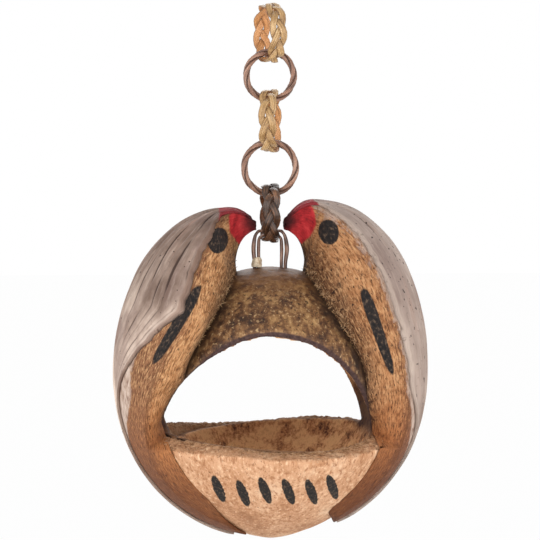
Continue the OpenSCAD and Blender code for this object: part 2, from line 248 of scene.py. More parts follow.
def new_finish(name, rough=0.6, specular=0.4):
    """A material, its object coordinates and a call that fills its Principled shader."""
    made = bpy.data.materials.new(name)
    made.use_nodes = True
    tree = made.node_tree
    shader = tree.nodes["Principled BSDF"]
    shader.inputs["Roughness"].default_value = rough
    shader.inputs["Specular IOR Level"].default_value = specular
    where = Tone(tree).node("ShaderNodeTexCoord", {}, {}, 3)

    def fill(colour, bump=None, depth=0.001, strength=1.0, gloss=None):
        tree.links.new(colour.socket, shader.inputs["Base Color"])
        if bump is not None:
            raised = where.node("ShaderNodeBump", {},
                                {"Height": bump, "Distance": depth, "Strength": strength})
            tree.links.new(raised.socket, shader.inputs["Normal"])
        if gloss is not None:
            tree.links.new(gloss.socket, shader.inputs["Roughness"])
    return made, where, fill


WELD_GAP = 0.00002


def copy_of(node, name):
    """A free copy of a CAD node's mesh with its loose triangles joined."""
    made = bpy.data.objects.new(name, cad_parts[node].data.copy())
    scene.collection.objects.link(made)
    made.data.materials.clear()
    join = made.modifiers.new("join", "WELD")
    join.merge_threshold = WELD_GAP
    return made


def settle(piece):
    """Turns a piece with its modifiers into a plain mesh."""
    plain = bpy.data.meshes.new_from_object(piece.evaluated_get(bpy.context.evaluated_depsgraph_get()))
    piece.modifiers.clear()
    piece.data = plain


def even_out(piece, grid, rounds):
    """Gives a piece an even mesh on the given grid and rounds its edges off."""
    even = piece.modifiers.new("even", "REMESH")
    even.mode = "VOXEL"
    even.voxel_size = grid
    soften = piece.modifiers.new("soften", "SMOOTH")
    soften.iterations = rounds
    settle(piece)


def spots_of(piece):
    flat = np.empty(len(piece.data.vertices) * 3, dtype=np.float64)
    piece.data.vertices.foreach_get("co", flat)
    return flat.reshape(-1, 3)


def lay_spots(piece, spots):
    piece.data.vertices.foreach_set("co", np.asarray(spots, dtype=np.float64).ravel())
    piece.data.update()


def normals_of(piece):
    flat = np.empty(len(piece.data.vertices) * 3, dtype=np.float64)
    piece.data.vertex_normals.foreach_get("vector", flat)
    return flat.reshape(-1, 3)


SEED_STEPS = (7.31, 3.17, 5.93)


def lumps(spots, size, seed, octaves=2):
    """Smooth seeded noise, about -1 to 1, at each spot; size is the width of a lump in metres."""
    shift = Vector([seed * step for step in SEED_STEPS])
    return np.array([noise.fractal(Vector(p) / size + shift, 1.0, 2.0, octaves) for p in spots])


def dress(piece, body, finish, *nodes):
    """Smooths a finished piece, gives it its material and hangs it on its body in place of the CAD nodes."""
    piece.data.materials.clear()
    piece.data.materials.append(finish)
    piece.data.polygons.foreach_set("use_smooth", [True] * len(piece.data.polygons))
    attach(piece, body)
    if nodes:
        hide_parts(*nodes)


NUT_Z = -0.195257
SHELL_R = 0.062
SHELL_WALL = 0.004
WINDOW_R = 0.054
WINDOW_X = -0.0035
SILL_Z = -0.026
SILL_TILT = math.radians(4)
BEVEL_R = 0.0615
BEVEL_Y = 0.02
BEVEL_SIDES = {-1: 0.053, 1: 0.0572}
BEVEL_LOW = 0.0012
BEVEL_CLEAR = 0.0003
BEVEL_STEPS = 49


def window_bevel(way):
    """A wide cone from behind the sill that opens the sawn edge outwards."""
    tilt = SILL_TILT if way < 0 else -SILL_TILT
    rim = []
    for turn in np.linspace(0, math.pi, BEVEL_STEPS):
        along = BEVEL_SIDES[1 if turn < math.pi / 2 else -1] * math.cos(turn)
        up = BEVEL_R * math.sin(turn)
        x = WINDOW_X + along * math.cos(tilt) + up * math.sin(tilt)
        z = SILL_Z - BEVEL_LOW - along * math.sin(tilt) + up * math.cos(tilt)
        depth = math.sqrt(max(1.2 * BEVEL_Y ** 2, (SHELL_R + BEVEL_CLEAR) ** 2 - x * x - z * z))
        rim.append(Vector((x, way * depth, z)))
    apex = Vector((WINDOW_X, way * BEVEL_Y, SILL_Z - BEVEL_LOW))
    far = [apex + 1.3 * (p - apex) for p in rim]
    middle = apex + 1.6 * Vector((0, way * SHELL_R, 0.01))
    spots = [apex, middle] + far
    last = len(far) + 1
    faces = [(0, i, i + 1) for i in range(2, last)]
    faces += [(1, i + 1, i) for i in range(2, last)]
    faces += [(0, last, 2), (1, 2, last)]
    if way < 0:
        faces = [f[::-1] for f in faces]
    mesh = bpy.data.meshes.new("window_bevel")
    mesh.from_pydata([p + Vector((0, 0, NUT_Z)) for p in spots], [], faces)
    made = bpy.data.objects.new("window_bevel", mesh)
    scene.collection.objects.link(made)
    return made


SHELL_GRID = 0.00106
SHELL_SOFT = 3
shell = copy_of("shell", "nut_shell")
cutters = [window_bevel(-1), window_bevel(1)]
for cutter in cutters:
    cut = shell.modifiers.new("bevel", "BOOLEAN")
    cut.operation = "DIFFERENCE"
    cut.solver = "EXACT"
    cut.object = cutter
even_out(shell, SHELL_GRID, SHELL_SOFT)
for cutter in cutters:
    bpy.data.objects.remove(cutter)

CURVE_POWER = 2.2
CHEEK_THIN, CHEEK_WIDE = 5, 41
CHEEK_A, CHEEK_RUN = 16, 55
BARE_A, BARE_MM = 17.5, 9
DENT_HIGH, DENT_WIDE = 0.00028, 0.009
SCRAPE_HIGH, SCRAPE_WIDE = 0.00012, 0.0025


def ease(t):
    return 1 - (1 - np.clip(t, 0, 1)) ** CURVE_POWER


def cheek_half(a):
    """Half of either bird's thickness, in mm, where it lies on the shell, at an angle from straight up."""
    return CHEEK_THIN + (CHEEK_WIDE - CHEEK_THIN) * ease((a - CHEEK_A) / CHEEK_RUN)


p, n = spots_of(shell), normals_of(shell)
off = p - np.array((0, 0, NUT_Z))
fall = np.degrees(np.arccos(off[:, 2] / np.linalg.norm(off, axis=1)))
bare = shell.data.attributes.new("bare", "FLOAT", "POINT")
bare.data.foreach_set("value", np.where(fall < BARE_A, BARE_MM, np.abs(off[:, 1]) * 1000 - cheek_half(fall)))
rough = DENT_HIGH * lumps(p, DENT_WIDE, 1) + SCRAPE_HIGH * lumps(p, SCRAPE_WIDE, 2)
lay_spots(shell, p + n * rough[:, None])

CROWN_BROWNS = [(0.38, (0.026, 0.012, 0.007)), (0.46, (0.085, 0.037, 0.016)), (0.53, (0.18, 0.087, 0.035)),
                (0.61, (0.34, 0.195, 0.08)), (0.7, (0.2, 0.11, 0.05))]
LINING_BROWNS = [(0.38, (0.08, 0.03, 0.015)), (0.47, (0.44, 0.205, 0.09)), (0.56, (0.7, 0.4, 0.19)),
                 (0.7, (0.45, 0.235, 0.105))]
EDGE_BROWNS = [(0.3, (0.028, 0.014, 0.012)), (0.55, (0.062, 0.034, 0.03)), (0.75, (0.11, 0.06, 0.045))]
FLECK_PALE, FLECK_DARK = (0.46, 0.3, 0.15), (0.022, 0.011, 0.006)
SHELL_CREASE_SHADE = (0.022, 0.011, 0.007)
CROWN_TOP = (0.16, 0.065, 0.02)
PILLAR_LINING_DARK = (0.045, 0.024, 0.02)
SILL_BROWN = (0.26, 0.13, 0.062)
scraped_shell, at, fill = new_finish("scraped_shell", specular=0.22)
off = at.node("ShaderNodeVectorMath", {"operation": "SUBTRACT"}, {0: at, 1: (0, 0, NUT_Z)})
reach = off.node("ShaderNodeVectorMath", {"operation": "LENGTH"}, {0: off}, 1)
outside = reach.step(SHELL_R - 0.0012, SHELL_R - 0.0004)
inside = 1 - reach.step(SHELL_R - SHELL_WALL + 0.0003, SHELL_R - SHELL_WALL + 0.001)
blotch = at.grain((75, 75, 75), detail=5, rough=0.65)
streak = at.grain((260, 260, 90), turn=(0.3, 0.2, 0.5), detail=4)
fleck = at.grain((620, 620, 420), detail=3, rough=0.7)
crown = (blotch * 0.55 + streak * 0.45).spread(CROWN_BROWNS)
crown = (fleck.step(0.56, 0.68) * 0.75).over(crown, FLECK_PALE)
crown = ((1 - fleck.step(0.34, 0.45)) * 0.9).over(crown, FLECK_DARK)
# Painted shade: the crown darkens to near black in the narrow creases beside the birds, but not between the
# beaks.
shell_crease_shade = 1 - (at.mark("bare") + (blotch - 0.5) * 9.0).step(0.5, 5)
crown = (shell_crease_shade * 0.85).over(crown, SHELL_CREASE_SHADE)
beside = at.part(0).maths("ABSOLUTE", at.part(0))
high = at.part(2) - NUT_Z
crown = ((high + (blotch - 0.5) * 0.02).step(0.05, 0.06) * 0.6).over(crown, CROWN_TOP)
lining = (blotch * 0.6 + fleck * 0.4).spread(LINING_BROWNS)
# The lining is darker towards the sides of the window, from the sill upwards.
lining = (beside.step(0.044, 0.05) * high.step(-0.03, -0.022) * 0.85).over(lining, PILLAR_LINING_DARK)
edge = (1 - high.step(SILL_Z, SILL_Z + 0.008)).over(fleck.spread(EDGE_BROWNS), SILL_BROWN)
colour = outside.over(inside.over(edge, lining), crown)
fill(colour, blotch * 0.5 + fleck * 0.5, 0.0007, 0.8, 0.8 - outside * 0.28 + (fleck - 0.5) * 0.3)
dress(shell, "feeder", scraped_shell, "shell")

# The husk bowl: the thick fibre round the lower shell, sanded to a smooth peach-coloured round,
# with a sawn rim that frays. A row of plain seed strokes is painted in black across its front.
BOWL_GRID = 0.0011
BOWL_SOFT = 26
BOWL_DENT_HIGH, BOWL_DENT_WIDE = 0.0003, 0.011
RIM_FRAY_HIGH, RIM_FRAY_WIDE = 0.0008, 0.0024
SEED_PITCH, SEED_WIDE, SEED_HIGH = 0.0115, 0.0026, 0.0078
SEED_ROW, SEED_LEAN, SEED_SWAY = -0.0465, 0.35, 0.0011
SEED_ROW_HALF = 0.0345
BOWL_PEACH = [(0.34, (0.3, 0.135, 0.062)), (0.46, (0.45, 0.228, 0.116)), (0.55, (0.54, 0.3, 0.168)),
              (0.68, (0.64, 0.43, 0.28))]
SAWN_PEACH = [(0.34, (0.1, 0.042, 0.018)), (0.46, (0.3, 0.15, 0.07)), (0.55, (0.46, 0.26, 0.135)),
              (0.68, (0.62, 0.41, 0.25))]
DASH_DARK, DASH_PALE = (0.27, 0.11, 0.045), (0.74, 0.5, 0.32)
PIT_DARK = (0.1, 0.04, 0.016)
SEED_BLACK = [(0.36, (0.008, 0.007, 0.006)), (0.55, (0.02, 0.015, 0.012)), (0.7, (0.09, 0.055, 0.035))]
bowl = copy_of("bowl_husk", "bowl_husk_round")
even_out(bowl, BOWL_GRID, BOWL_SOFT)
p, n = spots_of(bowl), normals_of(bowl)
rim_share = np.clip((n[:, 2] - 0.1) / 0.4, 0, 1)
rough = BOWL_DENT_HIGH * lumps(p, BOWL_DENT_WIDE, 3) + RIM_FRAY_HIGH * rim_share * lumps(p, RIM_FRAY_WIDE, 4)
lay_spots(bowl, p + n * rough[:, None])
facing_up = bowl.data.attributes.new("facing_up", "FLOAT", "POINT")
facing_up.data.foreach_set("value", normals_of(bowl)[:, 2])

sanded_husk, at, fill = new_finish("sanded_husk", 0.72, specular=0.22)
flow = at.grain((60, 60, 22), detail=3)
dash = at.grain((620, 620, 230), detail=3, rough=0.7)
pit = at.grain((1000, 1000, 520), detail=2, rough=0.6, shift=(3, 1, 2))
thread = at.grain((420, 420, 40), turn=(0, 0.12, 0), detail=5, rough=0.7)
tint = (flow * 0.6 + thread * 0.4).spread(BOWL_PEACH)
tint = ((1 - dash.step(0.36, 0.47)) * 0.75).over(tint, DASH_DARK)
tint = (dash.step(0.55, 0.68) * 0.7).over(tint, DASH_PALE)
tint = (1 - pit.step(0.28, 0.35)).over(tint, PIT_DARK)
fray = at.grain((420, 420, 800), detail=5, rough=0.75)
out_x, out_y = at.part(0), at.part(1)
out = (out_x ** 2 + out_y ** 2) ** 0.5
near = 1 - (out + (fray - 0.5) * 0.012).step(0.0595, 0.067) * 0.85
sawn = (at.mark("facing_up") + (fray - 0.5) * 0.6).step(0.2, 0.7) * near
tint = sawn.over(tint, fray.spread(SAWN_PEACH))
z = at.part(2) - NUT_Z
place = (out_x + (z - SEED_ROW) * SEED_LEAN) / SEED_PITCH
count = place.maths("FLOOR", place)
sway = count.maths("SINE", count * 2.3) * SEED_SWAY
beside = (place - count - 0.5) * SEED_PITCH + (dash - 0.5) * 0.0016
above = z - SEED_ROW + sway
stroke = 1 - ((beside / SEED_WIDE) ** 2 + (above / SEED_HIGH) ** 2).step(0.85, 1.1)
beyond = out_x.maths("ABSOLUTE", out_x).step(SEED_ROW_HALF, SEED_ROW_HALF + 0.0002)
on_front = (out_y * -1.0).step(0.0, 0.002) * (1 - beyond)
tint = (stroke * on_front).over(tint, pit.spread(SEED_BLACK))
fill(tint, dash * 0.5 + pit * 0.25 + sawn * fray, 0.001, 1.0)
dress(bowl, "feeder", sanded_husk, "bowl_husk")

# The two birds: carved from the husk left on each side of the shell, beak to beak over the crown,
# with their tails under the bowl. The fibre runs along them; eyes, wing bars and beaks are painted.
# Their sizes are in mm about the nut's middle and degrees from straight up; -1 is left and 1 is right.
BEAK_A, RIM_A = 5.4, 111.0
TAIL_A = {-1: 166.0, 1: 154.0}
BEAK_TOP, BEAK_LIFT, BEAK_RUN, BEAK_HALF = 85.2, 19.7, 5.5, 3.2
BACK_R = 80.2
HEAD_RISE = {-1: 17.5, 1: 22.5}
HEAD_A, HEAD_RUN = 21, 42
NECK_RUN = 12.6
SHOULDER = {-1: 59.0, 1: 48.0}
SHOULDER_RUN = 60
BEAK_SHARE, SHARE_GAIN, SHARE_RUN, MOST_SHARE = 0.46, 0.31, 28, 0.77
THROAT_SHARE, THROAT_GAIN = 0.8, 0.2
HAUNCH_HALF, HAUNCH_A, HAUNCH_RUN = 32, 58, 70
CHEST, CHEST_FULL = 3.5, 19.2
TAIL_RUN, TAIL_THIN = 14, 0.65
TAIL_HALF, TAIL_FALL = 47, 15
SKIN_A = {-1: 54.0, 1: 76.0}
SKIN_RUN, STRIP_HALF = 48, 9
SKIN_T, SKIN_GAP = 1.6, 0.15
SEAT_R, SEAT_GAP = 62.1, 0.1
BOWL_ARC_R, BOWL_ARC_ACROSS, BOWL_ARC_UP = 96, 16.357, 14.0962
ABOVE_RIM_A, BELOW_RIM_A = RIM_A - 0.55, RIM_A - 0.37
SILL, ARCH_R, ARCH_SHIFT, ARCH_GAP = 1000 * SILL_Z, 1000 * WINDOW_R, 1000 * WINDOW_X, 0.4


def smooth(t):
    t = np.clip(t, 0, 1)
    return t * t * (3 - 2 * t)


def sin_of(a):
    return np.sin(np.radians(a))


def cos_of(a):
    return np.cos(np.radians(a))


def back_reach(side, a):
    """Distance of a bird's back from the nut's middle."""
    def full(q):
        return BACK_R + HEAD_RISE[side] * np.exp(-((q - HEAD_A) / HEAD_RUN) ** 2)
    return full(a) - (full(BEAK_A) - BEAK_TOP) * np.exp(-(a - BEAK_A) / BEAK_RUN)


def bowl_reach(a):
    """Distance of the bowl's rounded side from the nut's middle."""
    b = BOWL_ARC_ACROSS * sin_of(a) - BOWL_ARC_UP * cos_of(a)
    return -b + np.sqrt(b * b - BOWL_ARC_ACROSS ** 2 - BOWL_ARC_UP ** 2 + BOWL_ARC_R ** 2)


def front_reach(a):
    """Distance of a bird's inner face from the nut's middle: throat, then shell, then bowl."""
    neck = SEAT_R + BEAK_LIFT * (1 - np.minimum(1, (a - BEAK_A) / NECK_RUN) ** CURVE_POWER)
    return np.where(a < BELOW_RIM_A, neck, bowl_reach(a) + SEAT_GAP)


def tail_round(side, a):
    """Share of the width that is left towards the end of the tail."""
    return 1 - TAIL_THIN * (np.maximum(0, a - TAIL_A[side] + TAIL_RUN) / TAIL_RUN) ** CURVE_POWER


def back_half(side, a):
    """Half of a bird's width at its back, front to back."""
    wide = BEAK_HALF + (SHOULDER[side] - BEAK_HALF) * ease((a - BEAK_A) / SHOULDER_RUN)
    wide = (wide + (HAUNCH_HALF - wide) * smooth((a - HAUNCH_A) / HAUNCH_RUN)) * tail_round(side, a)
    share = BEAK_SHARE + SHARE_GAIN * smooth((a - BEAK_A) / SHARE_RUN)
    return np.minimum(wide, share * back_reach(side, a) * sin_of(a))


def skin_half(side, a):
    """Half of the skin's width, which narrows to a strip under the bowl."""
    wide = SHOULDER[side] + (STRIP_HALF - SHOULDER[side]) * smooth((a - SKIN_A[side]) / SKIN_RUN)
    return np.minimum(back_half(side, a), wide * tail_round(side, a))


def front_half(side, a):
    """Half of the bird's thickness where it lies on the shell or the bowl."""
    r = front_reach(a)
    d = r * sin_of(a)
    z = r * cos_of(a)
    window = np.sqrt(np.maximum(0, ARCH_R ** 2 - (z - SILL) ** 2))
    window = np.where((z < SILL) | (z > SILL + ARCH_R), 0, window)
    window = np.maximum(0, window + side * ARCH_SHIFT + ARCH_GAP)
    throat = back_half(side, a) * (THROAT_SHARE + THROAT_GAIN * smooth((a - BEAK_A) / SHOULDER_RUN))
    beside_window = np.sqrt(d * d - np.minimum(window, 0.95 * d) ** 2)
    upper = np.minimum(np.minimum(throat, cheek_half(a)), beside_window)
    tail = TAIL_HALF - TAIL_FALL * (a - RIM_A) / (TAIL_A[side] - RIM_A)
    lower = np.minimum(tail * tail_round(side, a), MOST_SHARE * d)
    return np.where(a < BELOW_RIM_A, upper, lower)


def ring_angles(side, upper, lower):
    """Angles of a bird's rings, closer together towards the beak."""
    return np.concatenate([BEAK_A + (ABOVE_RIM_A - BEAK_A) * np.linspace(0, 1, upper) ** 1.5,
                           np.linspace(BELOW_RIM_A, TAIL_A[side], lower)])


def on_bird(side, r, a, y):
    """Spots at distance r, angle a and depth y, on the bird's side of the nut."""
    d = r * sin_of(a)
    return np.stack(np.broadcast_arrays(side * np.sqrt(np.maximum(0, d * d - y * y)), y, r * cos_of(a)), -1)


def arc_of(side, r, a, half, steps, stretch=1.0):
    """Spots across a bird at each angle, from half behind the middle to half in front of it."""
    d = r * sin_of(a)
    turn = np.arcsin(np.clip(half / d, -1, 1))[:, None] * np.linspace(-1, 1, steps) * stretch
    return on_bird(side, r[:, None], a[:, None], d[:, None] * np.sin(turn))


def with_ends(values):
    """Values on rings, one row after another, then the means of the first and last ring for the ends."""
    flat = values.reshape(-1, values.shape[-1])
    return np.concatenate([flat, values[0].mean(0)[None], values[-1].mean(0)[None]])


def loft(name, rings, length, marks, side):
    """A closed mesh over rings of spots (rows, columns, 3), with a map of the grain in metres.

    The grain runs along the columns, length is each ring's place on it, and marks holds named numbers
    for each spot.
    """
    rows, cols = rings.shape[:2]
    spots = with_ends(rings) / 1000 + np.array((0, 0, NUT_Z))
    index = np.arange(rows * cols).reshape(rows, cols)
    turned = np.roll(index, -1, 1)
    walls = np.stack([index[:-1], turned[:-1], turned[1:], index[1:]], -1).reshape(-1, 4)
    faces = [tuple(f) for f in walls]
    first, last = rows * cols, rows * cols + 1
    faces += [(first, int(turned[0, i]), int(index[0, i])) for i in range(cols)]
    faces += [(last, int(index[-1, i]), int(turned[-1, i])) for i in range(cols)]
    if side < 0:
        faces = [f[::-1] for f in faces]
    mesh = bpy.data.meshes.new(name)
    mesh.from_pydata([tuple(s) for s in spots], [], faces)
    across = np.linalg.norm(np.diff(rings, axis=1), axis=-1).mean(0).cumsum()
    across = np.broadcast_to(np.concatenate([[0], across]), (rows, cols))
    flat = with_ends(np.stack([across, np.broadcast_to(length[:, None], across.shape)], -1)) / 1000
    layer = mesh.uv_layers.new(name="grain")
    corner = np.empty(len(mesh.loops), dtype=np.int32)
    mesh.loops.foreach_get("vertex_index", corner)
    layer.data.foreach_set("uv", flat[corner].ravel())
    for mark, values in marks.items():
        kept = mesh.attributes.new(mark, "FLOAT", "POINT")
        kept.data.foreach_set("value", with_ends(values[..., None])[:, 0])
    mesh.validate()
    made = bpy.data.objects.new(name, mesh)
    scene.collection.objects.link(made)
    return made


def flank(side, a, t):
    """Distance and depth on a bird's carved side, from its back at t = 0 to the shell at t = 1."""
    a = np.asarray(a)[:, None]
    out, front = back_reach(side, a) - SKIN_T - SKIN_GAP, front_reach(a)
    half, near = back_half(side, a), front_half(side, a)
    swell = CHEST * np.minimum(1, (out - front) / CHEST_FULL) * smooth((a - BEAK_A) / SHOULDER_RUN)
    return out + (front - out) * t, half + (near - half) * t + swell * np.sin(math.pi * t)


BEAK_TIP = {-1: (-7.2, 86.4), 1: (7.4, 86.9)}
TIP_REACH = 9


def tip_share(side, p):
    """1 at a beak's tip, falling to 0 at TIP_REACH from it; p is in metres."""
    far = np.hypot(p[:, 0] * 1000 - BEAK_TIP[side][0], (p[:, 2] - NUT_Z) * 1000 - BEAK_TIP[side][1])
    return smooth(1 - far / TIP_REACH)


FILM_PAST_SKIN = {-1: -4, 1: 0.3}
FILM_BULGE = {-1: 21, 1: 6}
FILM_A = {-1: 94, 1: 108}
FILM_RUN = {-1: 13, 1: 14}


def film_half(side, a):
    """Half of the width of the thin film that the skin left on the husk when it was peeled."""
    bulge = FILM_BULGE[side] * np.exp(-((a - FILM_A[side]) / FILM_RUN[side]) ** 2)
    return skin_half(side, a) + FILM_PAST_SKIN[side] + bulge


ARC, SIDE, INNER = 61, 34, 17
UPPER_RINGS, LOWER_RINGS = 120, 52
GRAIN_R = 80
CREASE_FADE, CREASE_FADE_LEAD, CREASE_FADE_RUN = 0.55, 9, 8
FLANK_PAST_FILM = 20
CARVE_HIGH_M, CARVE_WIDE_M = 0.00045, 0.012
CHIP_HIGH_M, CHIP_WIDE_M = 0.0002, 0.003
TIP_HIGH_M, TIP_WIDE_M = 0.0009, 0.004
birds = {}
for side, name in ((-1, "left_bird"), (1, "right_bird")):
    a = ring_angles(side, UPPER_RINGS, LOWER_RINGS)
    t = np.linspace(0, 1, SIDE + 2)[1:-1]
    flank_r, flank_y = flank(side, a, t)
    rings = np.concatenate([arc_of(side, back_reach(side, a) - SKIN_T - SKIN_GAP, a, back_half(side, a), ARC),
                            on_bird(side, flank_r, a[:, None], flank_y),
                            arc_of(side, front_reach(a), a, front_half(side, a), INNER)[:, ::-1],
                            on_bird(side, flank_r, a[:, None], -flank_y)[:, ::-1]], 1)
    inward = np.concatenate([np.zeros(ARC), t, np.ones(INNER), t[::-1]])
    # The inward mark, which also places the painted crease shade, is weakened towards the bowl's rim, so that
    # shade is paler there.
    inward = inward * (1 - CREASE_FADE * smooth((a - RIM_A + CREASE_FADE_LEAD) / CREASE_FADE_RUN))[:, None]
    past_film = np.abs(rings[..., 1]) - film_half(side, a)[:, None] + FLANK_PAST_FILM * inward
    marks = {"inward": inward, "past_film": past_film}
    birds[side] = loft(name + "_husk", rings, np.radians(a - BEAK_A) * GRAIN_R, marks, side)
    p, n = spots_of(birds[side]), normals_of(birds[side])
    face = np.clip((np.abs(n[:, 1]) - 0.2) / 0.4, 0, 1)
    rough = CARVE_HIGH_M * lumps(p, CARVE_WIDE_M, 5 + side) + CHIP_HIGH_M * lumps(p, CHIP_WIDE_M, 8 + side)
    knobs = TIP_HIGH_M * tip_share(side, p) * lumps(p, TIP_WIDE_M, 13 + side)
    lay_spots(birds[side], p + n * (face * rough + knobs)[:, None])

HUSK_TANS = [(0.38, (0.16, 0.062, 0.022)), (0.47, (0.35, 0.165, 0.068)), (0.53, (0.48, 0.25, 0.115)),
             (0.62, (0.6, 0.36, 0.185))]
HUSK_LOW = (0.37, 0.135, 0.045)
HAIR_PALE, HAIR_PALE_LOW = (0.64, 0.41, 0.21), (0.52, 0.23, 0.085)
HAIR_DARK, GRIT_DARK, HOLE_DARK = (0.085, 0.034, 0.013), (0.07, 0.027, 0.011), (0.03, 0.013, 0.006)
BROW_BROWN = (0.17, 0.07, 0.036)
CREASE_SHADE, CREASE_DEEP_SHADE = (0.1, 0.05, 0.025), (0.02, 0.01, 0.006)
TAIL_BROWN = (0.12, 0.038, 0.015)
FILM_GREYS = [(0.36, (0.16, 0.085, 0.06)), (0.48, (0.46, 0.34, 0.27)), (0.62, (0.66, 0.54, 0.46))]
BEAK_REDS = [(0.36, (0.14, 0.007, 0.009)), (0.5, (0.37, 0.018, 0.022)), (0.64, (0.52, 0.04, 0.042))]
BEAK_BLACK = (0.035, 0.008, 0.009)
EYE_BLACKS = [(0.38, (0.005, 0.004, 0.004)), (0.55, (0.018, 0.012, 0.01)), (0.68, (0.085, 0.055, 0.036))]


def painted_husk(side, painted_shade, red_r, tip_r, eye, eye_r, bar_from, bar_to, bar_r):
    """Carved husk with its paint. Spots and sizes are in mm about the nut's middle, in the front view."""
    made, at, fill = new_finish("left_carved_husk" if side < 0 else "right_carved_husk", 0.75, specular=0.2)
    run = at.node("ShaderNodeUVMap", {"uv_map": "grain"}, {})
    inward = at.mark("inward")
    patch = at.grain((48, 48, 40), detail=3)
    blot = at.grain((190, 190, 150), detail=4, rough=0.65)
    fibre = run.grain((760, 95, 1), detail=4, rough=0.7)
    hair = run.grain((1500, 210, 1), detail=2, rough=0.6, shift=(5, 2, 0))
    pit = run.grain((950, 420, 1), detail=2, rough=0.6, shift=(1, 7, 0))
    grit = run.grain((1500, 330, 1), detail=3, rough=0.72, shift=(2, 9, 0))
    x, z = at.part(0) * 1000.0, (at.part(2) - NUT_Z) * 1000.0
    rag = (fibre - 0.5) * 1.6 + (pit - 0.5) * 1.2
    tint = patch * 0.3 + blot * 0.35 + fibre * 0.35
    tint = tint.spread(HUSK_TANS)
    low = (z * -1.0).step(-12, 30)
    tint = (low * 0.75).over(tint, HUSK_LOW)
    light = low.over(HAIR_PALE, HAIR_PALE_LOW)
    brow = 1 - (inward + (blot - 0.5) * 0.3).step(0.02, 0.2)
    tint = (brow * 0.75).over(tint, BROW_BROWN)
    # Painted shade: the husk darkens into the crease where each bird meets the shell, almost to black at its
    # foot, and more so higher up.
    crease = (inward + (blot - 0.5) * 0.7 + z.step(-5, 40) * 0.16).step(0.48, 1.0)
    tint = (crease * 0.85).over(tint, CREASE_SHADE)
    tint = ((inward + (blot - 0.5) * 0.2).step(0.86, 0.97) * 0.85).over(tint, CREASE_DEEP_SHADE)
    tail = (z * -1.0 + rag * 6).step(18, 52)
    tint = (tail * 0.75).over(tint, TAIL_BROWN)
    tint = (hair.step(0.53, 0.68) * (0.6 - tail * 0.3)).over(tint, light)
    tint = ((1 - hair.step(0.34, 0.47)) * 0.8).over(tint, HAIR_DARK)
    tint = (grit.step(0.52, 0.66) * (0.6 - tail * 0.35)).over(tint, light)
    tint = ((1 - grit.step(0.34, 0.46)) * 0.8).over(tint, GRIT_DARK)
    tint = (1 - (pit - crease * 0.09).step(0.27, 0.35)).over(tint, HOLE_DARK)
    # Painted shade: each bird's husk colour is darkened by its own factor, the right bird's much more, for
    # the shade on that side.
    tint = tint.times(painted_shade)
    past_film = at.mark("past_film") + (blot - 0.5) * 8.0 + (hair - 0.5) * 5.0
    film = (1 - past_film.step(-0.6, 1.2)) * z.step(-50, -25)
    tint = (film * 0.85).over(tint, (blot * 0.6 + hair * 0.4).spread(FILM_GREYS))

    def within(spot, size):
        return (((x - spot[0]) / size[0]) ** 2 + ((z - spot[1]) / size[1]) ** 2) ** 0.5

    far = within(BEAK_TIP[side], (1, 1)) + rag
    red = 1 - far.step(red_r - 0.6, red_r + 0.6)
    tint = red.over(tint, (blot * 0.6 + fibre * 0.4).spread(BEAK_REDS))
    tint = ((1 - far.step(2.5, tip_r)) * 0.9).over(tint, BEAK_BLACK)
    black = 1 - (within(eye, eye_r) + rag * 0.09).step(0.95, 1.06)
    dx, dz = bar_to[0] - bar_from[0], bar_to[1] - bar_from[1]
    size = math.hypot(dx, dz)
    along = ((x - bar_from[0]) * (dx / size) + (z - bar_from[1]) * (dz / size)) / size
    beside = (x - bar_from[0]) * (dz / size) - (z - bar_from[1]) * (dx / size)
    beside = beside / ((1.2 - along * 0.4) * bar_r)
    bar = 1 - (((along * 2 - 1) ** 2) ** 2 * 0.9 + beside ** 2 + rag * 0.22).step(0.8, 1.15)
    tint = black.most(bar).over(tint, pit.spread(EYE_BLACKS))
    fill(tint, fibre * 0.25 + hair * 0.25 + pit * 0.2 + grit * 0.3, 0.001, 1.0)
    return made


# The second argument is each bird's painted shade.
left_paint = painted_husk(-1, (0.9, 0.84, 0.78), red_r=14.9, tip_r=12, eye=(-28.2, 78.1), eye_r=(5.7, 6.2),
                          bar_from=(-38.5, 56.5), bar_to=(-61.4, 18), bar_r=2.8)
right_paint = painted_husk(1, (0.75, 0.66, 0.6), red_r=15.2, tip_r=9, eye=(28.3, 81.7), eye_r=(4.7, 6.3),
                           bar_from=(44.1, 54.2), bar_to=(59.1, 11.2), bar_r=2.8)
dress(birds[-1], "feeder", left_paint, "left_bird")
dress(birds[1], "feeder", right_paint, "right_bird")

# The outer skin: the nut's thin grey hide, left on the birds' backs. It dried in long folds that run
# to the beaks; its cut edge is brown and ragged, and the red of the beaks was brushed over its end.
# FOLDS gives each fold's place across the skin, from -1 to 1, and its depth.
SKIN_COLS = 150
SKIN_UPPER_RINGS, SKIN_LOWER_RINGS = 130, 50
SKIN_GRAIN_R = 88
RAGGED, RAGGED_POWER = 0.03, 8
FOLDS = {-1: ((-0.93, 0.6), (-0.78, 1.3), (-0.66, 0.7), (-0.52, 1.4), (-0.38, 0.8), (-0.24, 1.0), (-0.1, 0.7),
              (0.06, 1.2), (0.3, 0.7), (0.52, 1.2), (0.75, 1.0), (0.9, 0.5)),
         1: ((-0.62, 0.5), (-0.35, 0.4), (-0.12, 0.6), (0.25, 0.5), (0.6, 0.6))}
FOLD_A, FOLD_RUN, FOLD_FROM_A = 38, 50, 7
FOLD_HALF, FOLD_DRIFT = 0.9, 0.07
FOLD_DOWN, FOLD_UP = 1.3, 0.35
FOLD_DEEPEST, FOLD_HIGHEST = -1.2, 0.7
HIDE_HIGH_M, HIDE_WIDE_M = 0.0002, 0.016


def trail(a, line=0, row=0):
    """Spots for noise that changes along a bird, beside a line and a row of its own."""
    return np.stack([a * 0.01, a * 0 + line, a * 0 + row], -1)


